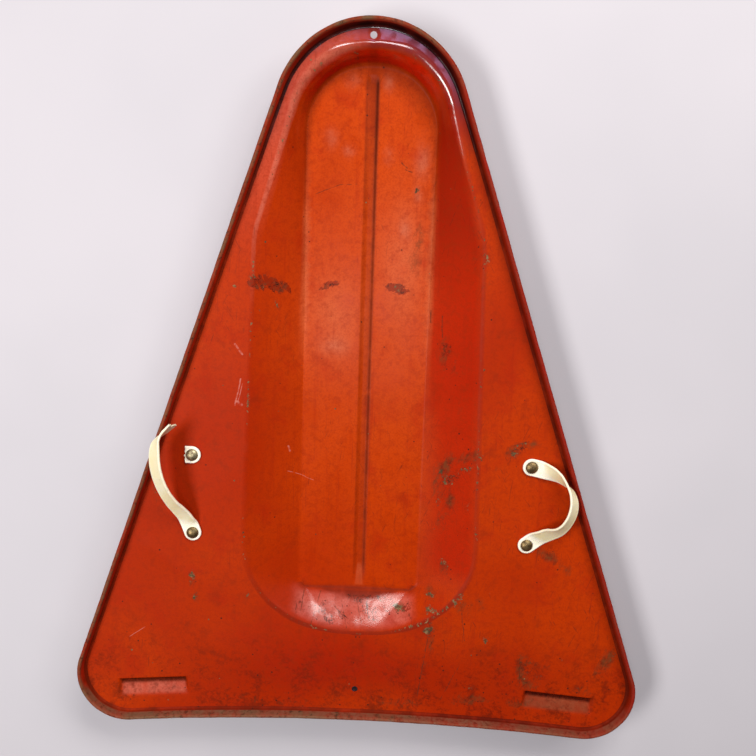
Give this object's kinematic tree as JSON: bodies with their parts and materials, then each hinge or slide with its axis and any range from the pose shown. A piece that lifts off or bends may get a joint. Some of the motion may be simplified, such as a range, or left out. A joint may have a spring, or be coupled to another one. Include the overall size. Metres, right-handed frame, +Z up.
{
  "type": "pressed-steel snow sled",
  "caption": "Delta-shaped pressed sheet-steel snow sled with a long seat trough, rolled rim, rope holes and riveted strap handles, one torn loose.",
  "frame": {"origin": "on the ground under the middle of the sled's plan box, the sled lying on its trough", "axes": "+Y towards the nose, +X to the rider's right, +Z up"},
  "size_m": [0.7256, 0.8797, 0.0838],
  "materials": {
    "painted_steel": "worn gloss",
    "strap_vinyl": "satin",
    "rivet_brass": "tarnished"
  },
  "bodies": {
    "sled": {"pan": "painted_steel", "right_handle_strap": "strap_vinyl", "left_strap_stub": "strap_vinyl", "left_front_rivet": "rivet_brass", "left_rear_rivet": "rivet_brass", "right_front_rivet": "rivet_brass", "right_rear_rivet": "rivet_brass"},
    "torn_strap": {"left_handle_strap": "strap_vinyl"}
  },
  "joints": [
    {"name": "torn_strap_swivel", "type": "hinge", "parent": "sled", "child": "torn_strap", "pos_m": [-0.2115, -0.1796, 0.0408], "axis": [0, 0, 1], "continuous": true}
  ]
}
